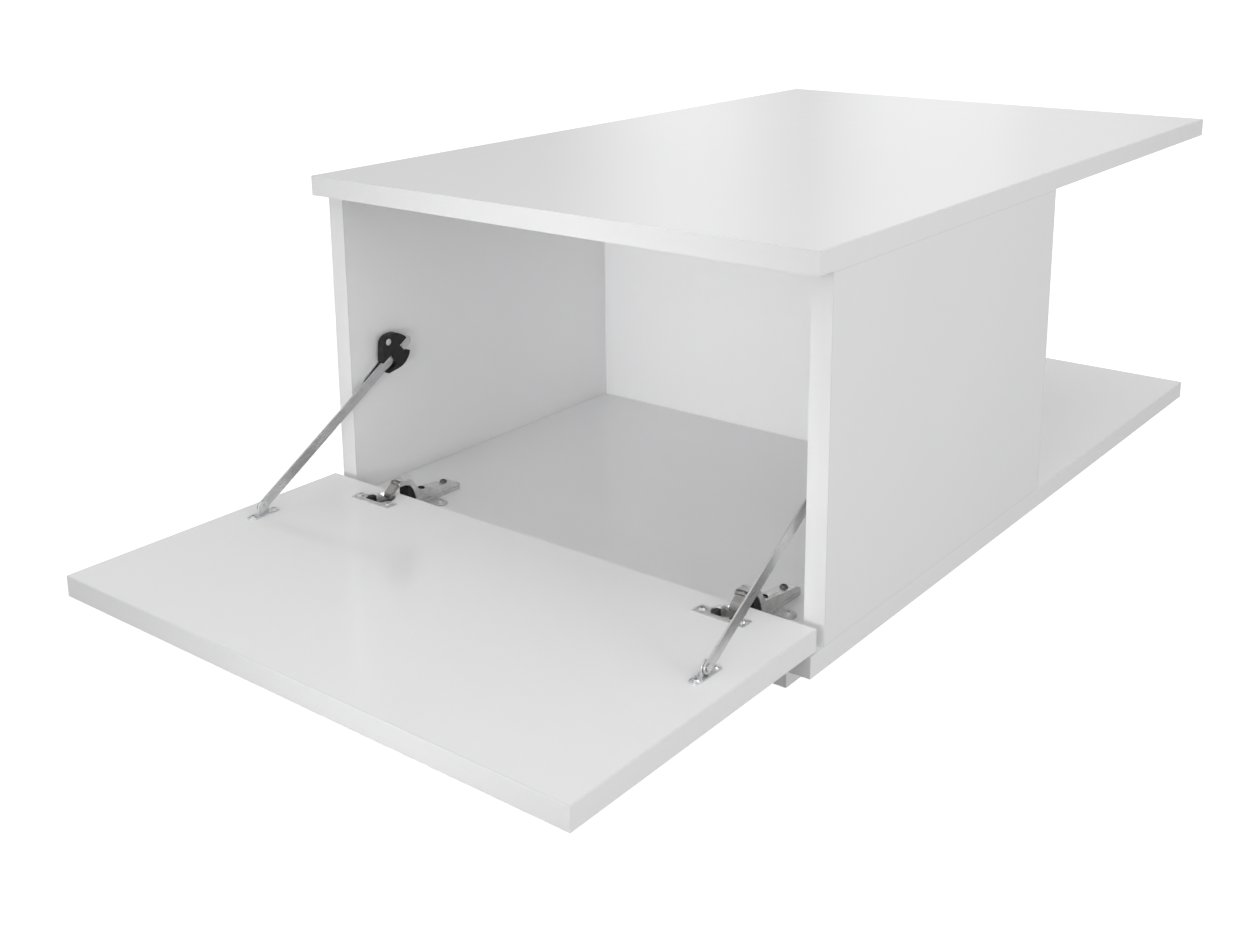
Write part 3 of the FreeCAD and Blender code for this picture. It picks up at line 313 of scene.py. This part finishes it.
def plated_metal_material(name, colour, dull, stretch, roughness, tilt=0.0):
    """One plated finish: its bright and dull colours, its grain's stretch and its roughness."""
    material = bpy.data.materials.new(name)
    nodes, links, shader = node_tree(material)
    metal = place_group(nodes, PLATED_METAL, {
        "Colour": (*colour, 1), "Dull": (*dull, 1), "Stretch": stretch,
        "Tilt": (tilt, 0, 0), "Roughness": roughness})
    links.new(metal.outputs["Colour"], shader.inputs["Base Color"])
    links.new(metal.outputs["Roughness"], shader.inputs["Roughness"])
    emboss(nodes, links, shader, metal.outputs["Height"], GRAIN_STRENGTH, GRAIN_DEPTH)
    shader.inputs["Metallic"].default_value = 1.0
    return material


ZINC_PLATE = plated_metal_material(
    "zinc_plate", (0.84, 0.85, 0.86), (0.62, 0.63, 0.64), (900, 900, 60), 0.34)
dress("plinth_brackets", ZINC_PLATE, 0.0004)

SPARK_STRENGTH, SPARK_DEPTH = 0.3, 0.00004


def moulded_plastic_group():
    """Moulded plastic: a fine spark-eroded grain, faint flow marks and rubbed patches."""
    spark_scale, flow_scale = 2600.0, 160.0
    group, nodes, links, inlet, outlet = new_group(
        "moulded_plastic", [("Colour", "c"), ("Rubbed", "c"), ("Roughness", "f")],
        [("Colour", "c"), ("Roughness", "f"), ("Height", "f")])
    place = nodes.new("ShaderNodeTexCoord").outputs["Object"]
    flow = noise(nodes, links, place, flow_scale, 2.0)
    patches = between(nodes, links, flow, 0.45, 0.75, 0.0, 0.6)
    links.new(mixed(nodes, links, patches, inlet.outputs["Colour"], inlet.outputs["Rubbed"]),
              outlet.inputs["Colour"])
    change = between(nodes, links, flow, 0.3, 0.7, 0.06, -0.08)
    links.new(maths(nodes, links, "ADD", inlet.outputs["Roughness"], change),
              outlet.inputs["Roughness"])
    links.new(noise(nodes, links, place, spark_scale, 2.0), outlet.inputs["Height"])
    return group


MOULDED_PLASTIC = moulded_plastic_group()


def plastic_material(name, colour, rubbed, roughness):
    """One moulded plastic: its colour, its colour where it is rubbed, and its roughness."""
    material = bpy.data.materials.new(name)
    nodes, links, shader = node_tree(material)
    plastic = place_group(nodes, MOULDED_PLASTIC, {
        "Colour": (*colour, 1), "Rubbed": (*rubbed, 1), "Roughness": roughness})
    links.new(plastic.outputs["Colour"], shader.inputs["Base Color"])
    links.new(plastic.outputs["Roughness"], shader.inputs["Roughness"])
    emboss(nodes, links, shader, plastic.outputs["Height"], SPARK_STRENGTH, SPARK_DEPTH)
    return material


GLIDE_PLASTIC = plastic_material("glide_plastic", (0.30, 0.29, 0.28), (0.38, 0.37, 0.35), 0.55)
dress("floor_glides", GLIDE_PLASTIC)

# ---------------------------------------------------------------------------------------------
# Carcass fittings: bright screws up through the bottom panel, zinc cams with steel bolts under
# the top panel and grooved beech dowels that line the boards up. All stand inside the boards.

SCREW_STEEL = plated_metal_material(
    "screw_steel", (0.80, 0.80, 0.79), (0.55, 0.55, 0.54), (500, 500, 500), 0.3)
CAST_ZINC = plated_metal_material(
    "cast_zinc", (0.58, 0.58, 0.58), (0.44, 0.44, 0.44), (300, 300, 300), 0.42)
for fasteners in ("carcass_screws", "plinth_screws", "cam_bolts"):
    dress(fasteners, SCREW_STEEL)
dress("cam_fittings", CAST_ZINC)

BEECH_PALE, BEECH_RAY = (0.72, 0.52, 0.33, 1), (0.50, 0.32, 0.18, 1)
BEECH_STRETCH = (900.0, 900.0, 70.0)


def beech_material():
    """Raw beech: short dark rays on a pale ground, drawn out along the dowel's length."""
    material = bpy.data.materials.new("beech")
    nodes, links, shader = node_tree(material)
    place = nodes.new("ShaderNodeTexCoord").outputs["Object"]
    grain = noise(nodes, links, vectors(nodes, links, "MULTIPLY", place, BEECH_STRETCH), 1.0, 4.0)
    rays = between(nodes, links, grain, 0.35, 0.7, 0.0, 1.0)
    links.new(mixed(nodes, links, rays, BEECH_PALE, BEECH_RAY), shader.inputs["Base Color"])
    links.new(between(nodes, links, grain, 0.3, 0.7, 0.6, 0.8), shader.inputs["Roughness"])
    return material


dress("dowels", beech_material())

# ---------------------------------------------------------------------------------------------
# Flap door: the same lacquered board, hinged along its lower edge and drilled on its inner face
# for the two hinge cups. It has no handle: it is opened by its free edge.

dress("flap_door", lacquered_board_material("flap_door", (0, 0, 1)), BOARD_ARRIS)

# ---------------------------------------------------------------------------------------------
# Cup hinges: nickel-plated pressed steel. A cup with a screwed flange sits in the door, two
# links run from it to the arm's pin, and the arm is screwed on a cast plate with two wings.

NICKEL = ((0.80, 0.80, 0.79), (0.52, 0.52, 0.51))
HINGE_NICKEL = plated_metal_material("hinge_nickel", *NICKEL, (700, 90, 700), 0.3)
CUP_NICKEL = plated_metal_material("cup_nickel", *NICKEL, (240, 240, 240), 0.36)
PLATE_CASTING = plated_metal_material("plate_casting", *NICKEL, (260, 260, 260), 0.4)
LINK_STEEL = plated_metal_material(
    "link_steel", (0.46, 0.45, 0.44), (0.26, 0.25, 0.245), (900, 120, 900), 0.38)
# Dark steel for the arm's fixing and adjusting screws: its darkness is painted shade, so that the
# screw holes in the arms read as shaded recesses.
HOLE_SHADE_STEEL = plated_metal_material(
    "hole_shade_steel", (0.20, 0.20, 0.20), (0.08, 0.08, 0.08), (500, 500, 500), 0.4)
BLACK_PLASTIC = plastic_material(
    "black_plastic", (0.004, 0.004, 0.004), (0.010, 0.010, 0.011), 0.55)

for side in SIDES:
    dress(f"{side}_hinge_cup", CUP_NICKEL, 0.0003)
    dress(f"{side}_hinge_outer_link", LINK_STEEL, 0.0003)
    dress(f"{side}_hinge_inner_link", LINK_STEEL)
    dress(f"{side}_hinge_arm", HINGE_NICKEL, 0.0005)
    dress(f"{side}_hinge_insert", BLACK_PLASTIC)
    dress(f"{side}_mounting_plate", PLATE_CASTING, 0.0006, 3)
for fasteners in ("cup_screws", "mounting_plate_screws", "arm_pins"):
    dress(fasteners, SCREW_STEEL)
# The arm screws take the dark steel, whose dark colour is painted shade in the arms' holes.
for fasteners in ("arm_fixing_screws", "arm_adjusting_screws"):
    dress(fasteners, HOLE_SHADE_STEEL)


def add_mesh(name, points, quads, material, body, slot):
    """Makes one smooth piece at the origin and lets it ride on its body."""
    mesh = bpy.data.meshes.new(name)
    mesh.from_pydata(points.reshape(-1, 3).tolist(), [], quads.tolist())
    mesh.shade_smooth()
    mesh.materials.append(material)
    piece = bpy.data.objects.new(name, mesh)
    bpy.context.scene.collection.objects.link(piece)
    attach(piece, body)
    return piece


def grid_cells(index):
    """Quads of a grid of point numbers whose rows run along +X and columns along +Y."""
    corners = (index[:-1, :-1], index[1:, :-1], index[1:, 1:], index[:-1, 1:])
    return np.stack(corners, axis=-1).reshape(-1, 4)


def closed_sheet(top, under):
    """Skin between two grids of points: cells of both grids and one wall quad per rim edge.

    The upper cells turn anticlockwise from above and the lower ones the other way.
    """
    index = np.arange(top.shape[0] * top.shape[1]).reshape(top.shape[:2])
    cells = grid_cells(index)
    rim = np.concatenate([index[:-1, 0], index[-1, :-1], index[:0:-1, -1], index[0, :0:-1]])
    following = np.roll(rim, -1)
    wall = np.stack([rim + index.size, following + index.size, following, rim], axis=-1)
    points = np.concatenate([top.reshape(-1, 3), under.reshape(-1, 3)])
    return points, np.concatenate([cells, cells[:, ::-1] + index.size, wall])


def bead_rings(centres, radius, width, height):
    """Half-sunk beads round screws, with a round the screw and p round the bead's section.

    x, y = centre + (radius + width cos p) (cos a, sin a) and z = centre + height sin p.
    """
    turn_steps, section_steps = 40, 8
    around = np.linspace(0, 2 * np.pi, turn_steps, endpoint=False)[None, :, None]
    across = np.linspace(0, 2 * np.pi, section_steps, endpoint=False)[None, None, :]
    reach = radius + width * np.cos(across)
    x, y, z = np.moveaxis(np.asarray(centres, dtype=float), -1, 0)[:, :, None, None]
    points = np.stack([x + reach * np.cos(around), y + reach * np.sin(around),
                       z + height * np.sin(across) + 0 * around], axis=-1)
    index = np.arange(points[..., 0].size).reshape(points.shape[:3])
    ahead, beside = np.roll(index, -1, axis=1), np.roll(index, -1, axis=2)
    corner = np.roll(ahead, -1, axis=2)
    return points, np.stack([index, ahead, corner, beside], axis=-1).reshape(-1, 4)


def middle(node):
    """Middle of a CAD node's box."""
    return np.mean(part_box(node), axis=0)


# Collars pressed round the screws of the flanges and wings: radius, half width, height.
FLANGE_COLLAR = (0.0043, 0.0005, 0.0003)
WING_COLLAR = (0.0056, 0.0009, 0.0007)
FLANGE_SCREW_OUT = 0.0225
WING_SCREW_OUT = 0.023
WING_THICKNESS = 0.0025
for side in SIDES:
    hinge_x, flange_y = middle(f"{side}_hinge_cup")[0], middle("cup_screws")[1]
    flange_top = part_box(f"{side}_hinge_cup")[1][2]
    rings = [(hinge_x + out, flange_y, flange_top) for out in (-FLANGE_SCREW_OUT, FLANGE_SCREW_OUT)]
    add_mesh(f"{side}_flange_collars", *bead_rings(rings, *FLANGE_COLLAR), CUP_NICKEL,
             "flap", "nickel_steel")
    wing_y = middle("mounting_plate_screws")[1]
    wing_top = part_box(f"{side}_mounting_plate")[0][2] + WING_THICKNESS
    rings = [(hinge_x + out, wing_y, wing_top) for out in (-WING_SCREW_OUT, WING_SCREW_OUT)]
    add_mesh(f"{side}_wing_collars", *bead_rings(rings, *WING_COLLAR), PLATE_CASTING,
             "table", "nickel_steel")


def damper_block(centre_x, centre_y, face, sign):
    """Damper beside the arm in a cup: x across from its inner wall, y up to a circle or a chord.

    The front wall follows y = -sqrt(radius^2 - x^2) until the chord cuts it off, and the top is
    crowned along its length by crown (1 - (2 share - 1)^2).
    """
    radius, chord, rear = 0.0152, -0.0113, 0.002
    inner, outer = 0.0086, 0.0136
    rise, crown, depth = 0.0005, 0.0004, 0.0085
    out, share = np.meshgrid(np.linspace(inner, outer, 13), np.linspace(0, 1, 17), indexing="ij")
    if sign < 0:
        out = -out[::-1]
    front = np.maximum(-np.sqrt(radius ** 2 - out ** 2), chord)
    y = front + (rear - front) * share
    top = face + rise + crown * (1 - (2 * share - 1) ** 2)
    place = np.array([centre_x, centre_y, 0.0])
    return closed_sheet(np.stack([out, y, top], axis=-1) + place,
                        np.stack([out, y, np.full_like(y, face - depth)], axis=-1) + place)


def link_ribs(pin_x, pin_y, pin_z):
    """Ribbed skin on a link's web: height = crest (1 + cos(2 pi x / pitch)) above its face.

    The web runs down from the pin along slope, and rise is slope turned a quarter. The ribs
    fade out at both ends of the web, and the skin's underside is sunk in it.
    """
    slope = np.array([-0.8100, -0.5866])
    rise = np.array([slope[1], -slope[0]])
    half, near, far = 0.0047, 0.002, 0.0125
    pitch, crest, fade = 0.00118, 0.00008, 0.001
    face, gap, sunk = 0.0018, 0.00004, 0.0003
    x, along = np.meshgrid(np.linspace(-half, half, 97), np.linspace(far, near, 9), indexing="ij")
    ends = np.clip(np.minimum(along - near, far - along) / fade, 0, 1)

    def on_web(height):
        return np.stack([pin_x + x, pin_y + slope[0] * along + rise[0] * height,
                         pin_z + slope[1] * along + rise[1] * height], axis=-1)

    ribs = face + gap + crest * (1 + np.cos(2 * np.pi * x / pitch)) * ends
    return closed_sheet(on_web(ribs), on_web(np.full_like(x, face - sunk)))


CUP_BEHIND_FLANGE = 0.0095
ADJUSTER_BUSH = (0.0034, 0.0009, 0.0010)
ADJUSTER_BUSH_RISE = 0.0164
for side in SIDES:
    hinge_x = middle(f"{side}_hinge_cup")[0]
    cup_y = middle("cup_screws")[1] + CUP_BEHIND_FLANGE
    door_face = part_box("flap_door")[1][2]
    for place, sign in (("left", -1), ("right", 1)):
        add_mesh(f"{side}_cup_{place}_damper", *damper_block(hinge_x, cup_y, door_face, sign),
                 BLACK_PLASTIC, "flap", "black_plastic")
    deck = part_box("bottom_panel")[1][2]
    bush = [(hinge_x, middle("arm_adjusting_screws")[1], deck + ADJUSTER_BUSH_RISE)]
    add_mesh(f"{side}_adjuster_bush", *bead_rings(bush, *ADJUSTER_BUSH), BLACK_PLASTIC,
             "table", "black_plastic")
    pin = middle("arm_pins")
    add_mesh(f"{side}_link_ribs", *link_ribs(hinge_x, pin[1], pin[2]), LINK_STEEL,
             f"{side}_links", "nickel_steel")

# ---------------------------------------------------------------------------------------------
# Flap stays: a flat zinc-plated bar on edge runs from a bracket on the door through a swivel hub
# of black plastic on the side panel. A screw in the hub's face sets its friction.

# Grain turned by about the bars' slope, so that it runs along them.
BAR_TILT = -math.radians(27.0)
BAR_STEEL = plated_metal_material(
    "bar_steel", (0.74, 0.74, 0.74), (0.54, 0.54, 0.54), (900, 40, 900), 0.3, BAR_TILT)
for side in SIDES:
    dress(f"{side}_stay_bar", BAR_STEEL, 0.0003)
    dress(f"{side}_stay_stop", SCREW_STEEL)
    dress(f"{side}_stay_hub", BLACK_PLASTIC, 0.0005)
    dress(f"{side}_hub_screw", SCREW_STEEL)
    dress(f"{side}_hub_base", ZINC_PLATE)
    dress(f"{side}_door_bracket", ZINC_PLATE, 0.0003)
for fasteners in ("door_bracket_screws", "hub_base_screws", "bar_rivets"):
    dress(fasteners, SCREW_STEEL)

BRACKET_COLLAR = (0.0042, 0.0005, 0.0004)
BRACKET_SCREW_OUT = 0.014
BRACKET_SHEET = 0.0015
for side in SIDES:
    plate_x, plate_y, _ = middle(f"{side}_door_bracket")
    plate_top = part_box(f"{side}_door_bracket")[0][2] + BRACKET_SHEET
    rings = [(plate_x, plate_y + out, plate_top) for out in (-BRACKET_SCREW_OUT, BRACKET_SCREW_OUT)]
    add_mesh(f"{side}_bracket_collars", *bead_rings(rings, *BRACKET_COLLAR), ZINC_PLATE,
             "flap", "zinc_steel")

# ---------------------------------------------------------------------------------------------
# Studio: a white paper floor, a white room that is brighter in two upright bands behind the
# table, which the gloss top mirrors, three soft boxes in front of the table and at its right,
# and a camera in front of the right-hand corner.

FLOOR_REACH = 9.0
FLOOR_FLAT = 5.0
FLOOR_CURL = 0.02
FLOOR_DROP = 0.0002
PAPER_GREY = 0.24
PAPER_ROUGHNESS = 0.9
PAPER_SPECULAR = 0.2
PAPER_GLOW = 0.97


def studio_floor():
    """A square sheet, level out to FLOOR_FLAT, then z = FLOOR_CURL (r - FLOOR_FLAT)^2."""
    steps = np.linspace(-FLOOR_REACH, FLOOR_REACH, 61)
    x, y = np.meshgrid(steps, steps, indexing="ij")
    beyond = np.clip(np.hypot(x, y) - FLOOR_FLAT, 0.0, None)
    points = np.stack([x, y, FLOOR_CURL * beyond ** 2 - FLOOR_DROP], axis=-1).reshape(-1, 3)
    quads = grid_cells(np.arange(x.size).reshape(x.shape))
    mesh = bpy.data.meshes.new("studio_floor")
    mesh.from_pydata(points.tolist(), [], quads.tolist())
    sheet = bpy.data.objects.new("studio_floor", mesh)
    bpy.context.scene.collection.objects.link(sheet)
    return sheet


def studio_paper():
    """Grey to the lights, so that it throws little on the table, and white to the camera."""
    material = bpy.data.materials.new("studio_paper")
    nodes, links, shader = node_tree(material)
    shader.inputs["Base Color"].default_value = (PAPER_GREY, PAPER_GREY, PAPER_GREY, 1)
    shader.inputs["Roughness"].default_value = PAPER_ROUGHNESS
    shader.inputs["Specular IOR Level"].default_value = PAPER_SPECULAR
    shader.inputs["Emission Color"].default_value = (1, 1, 1, 1)
    seen = nodes.new("ShaderNodeLightPath").outputs["Is Camera Ray"]
    links.new(maths(nodes, links, "MULTIPLY", seen, PAPER_GLOW), shader.inputs["Emission Strength"])
    return material


floor = studio_floor()
floor.data.materials.append(studio_paper())

# Room brightness by direction, in degrees anticlockwise from +Y. The bands peak at 27 and 36.
ROOM_BANDS = (
    (-180, 0.82), (-140, 0.78), (-120, 0.85), (-100, 0.95), (-70, 0.9), (-50, 0.75),
    (17, 0.70), (20.5, 0.83), (22, 0.78), (23.1, 0.90), (24.5, 0.98), (27.2, 0.99),
    (28.6, 0.95), (30, 0.82), (31.4, 0.66), (32.8, 0.86), (34.5, 0.97), (35.7, 0.98),
    (37.1, 0.94), (38.5, 0.80), (40.7, 0.6), (43, 0.55), (60, 0.5), (90, 0.7), (180, 0.82),
)
CEILING_FROM, CEILING_FULL = 0.62, 0.85
CEILING_BRIGHTNESS = 0.78
BACKDROP_BRIGHTNESS = 1.05


def studio_room():
    """World light: a ramp over the compass direction near the horizon, an even white above it.

    The camera itself sees one even white backdrop.
    """
    world = bpy.data.worlds.new("studio_room")
    world.use_nodes = True
    nodes, links = world.node_tree.nodes, world.node_tree.links
    direction = nodes.new("ShaderNodeTexCoord").outputs["Generated"]
    parts = nodes.new("ShaderNodeSeparateXYZ")
    links.new(direction, parts.inputs[0])
    x, y, z = parts.outputs
    heading = maths(nodes, links, "ARCTAN2", maths(nodes, links, "MULTIPLY", x, -1.0), y)
    turn = between(nodes, links, heading, -math.pi, math.pi, 0.0, 1.0)
    ramp = nodes.new("ShaderNodeValToRGB")
    stops = ramp.color_ramp.elements
    while len(stops) < len(ROOM_BANDS):
        stops.new(0.5)
    for stop, (degrees, brightness) in zip(stops, ROOM_BANDS):
        stop.position = (degrees + 180) / 360
        stop.color = (brightness, brightness, brightness, 1)
    links.new(turn, ramp.inputs["Fac"])
    overhead = between(nodes, links, z, CEILING_FROM, CEILING_FULL, 0.0, 1.0)
    room = nodes.new("ShaderNodeMix")
    links.new(overhead, room.inputs["Factor"])
    links.new(ramp.outputs["Color"], room.inputs["A"])
    room.inputs["B"].default_value = CEILING_BRIGHTNESS
    camera_sees = nodes.new("ShaderNodeLightPath").outputs["Is Camera Ray"]
    strength = nodes.new("ShaderNodeMix")
    links.new(camera_sees, strength.inputs["Factor"])
    links.new(room.outputs["Result"], strength.inputs["A"])
    strength.inputs["B"].default_value = BACKDROP_BRIGHTNESS
    background = nodes["Background"]
    links.new(strength.outputs["Result"], background.inputs["Strength"])
    background.inputs["Color"].default_value = (1, 1, 1, 1)
    return world


bpy.context.scene.world = studio_room()
bpy.context.scene.view_settings.view_transform = "Standard"


def soft_box(name, place, aim, size, power, spread):
    """A rectangular soft box that faces its aim and is not seen by the camera itself."""
    lamp = bpy.data.lights.new(name, "AREA")
    lamp.shape = "RECTANGLE"
    lamp.size, lamp.size_y = size
    lamp.spread = spread
    lamp.energy = power
    box = bpy.data.objects.new(name, lamp)
    box.location = place
    box.rotation_euler = (Vector(aim) - Vector(place)).to_track_quat("-Z", "Y").to_euler()
    box.visible_camera = False
    bpy.context.scene.collection.objects.link(box)
    return box


# Place, aim, width and height, power in watts, spread.
SOFT_BOXES = {
    "front_soft_box": ((0.15, -3.6, 0.75), (0.0, -0.2, 0.25), (2.0, 0.9), 17.5, math.pi),
    "side_soft_box": ((3.6, 0.1, 1.0), (0.0, 0.1, 0.25), (2.4, 1.2), 30.0, math.pi),
    "box_light": ((0.45, -1.65, 0.30), (-0.10, 0.0, 0.26), (0.42, 0.2), 0.30, math.radians(32)),
}
for name, setting in SOFT_BOXES.items():
    soft_box(name, *setting)

CAMERA_PLACE = (0.95268, -1.41175, 0.73827)
CAMERA_TURN = 0.6638
CAMERA_DIP = 0.2371
CAMERA_ROLL = -0.0077
CAMERA_LENS = 42.932
CAMERA_SENSOR = 36.0
CAMERA_SHIFT = -0.155

eye = bpy.data.cameras.new("studio_camera")
eye.lens = CAMERA_LENS
eye.sensor_width = CAMERA_SENSOR
eye.shift_y = CAMERA_SHIFT
camera = bpy.data.objects.new("studio_camera", eye)
camera.location = CAMERA_PLACE
turned = (Matrix.Rotation(CAMERA_TURN, 3, "Z")
          @ Matrix.Rotation(math.pi / 2 - CAMERA_DIP, 3, "X")
          @ Matrix.Rotation(CAMERA_ROLL, 3, "Z"))
camera.rotation_euler = turned.to_euler()
bpy.context.scene.collection.objects.link(camera)
bpy.context.scene.camera = camera
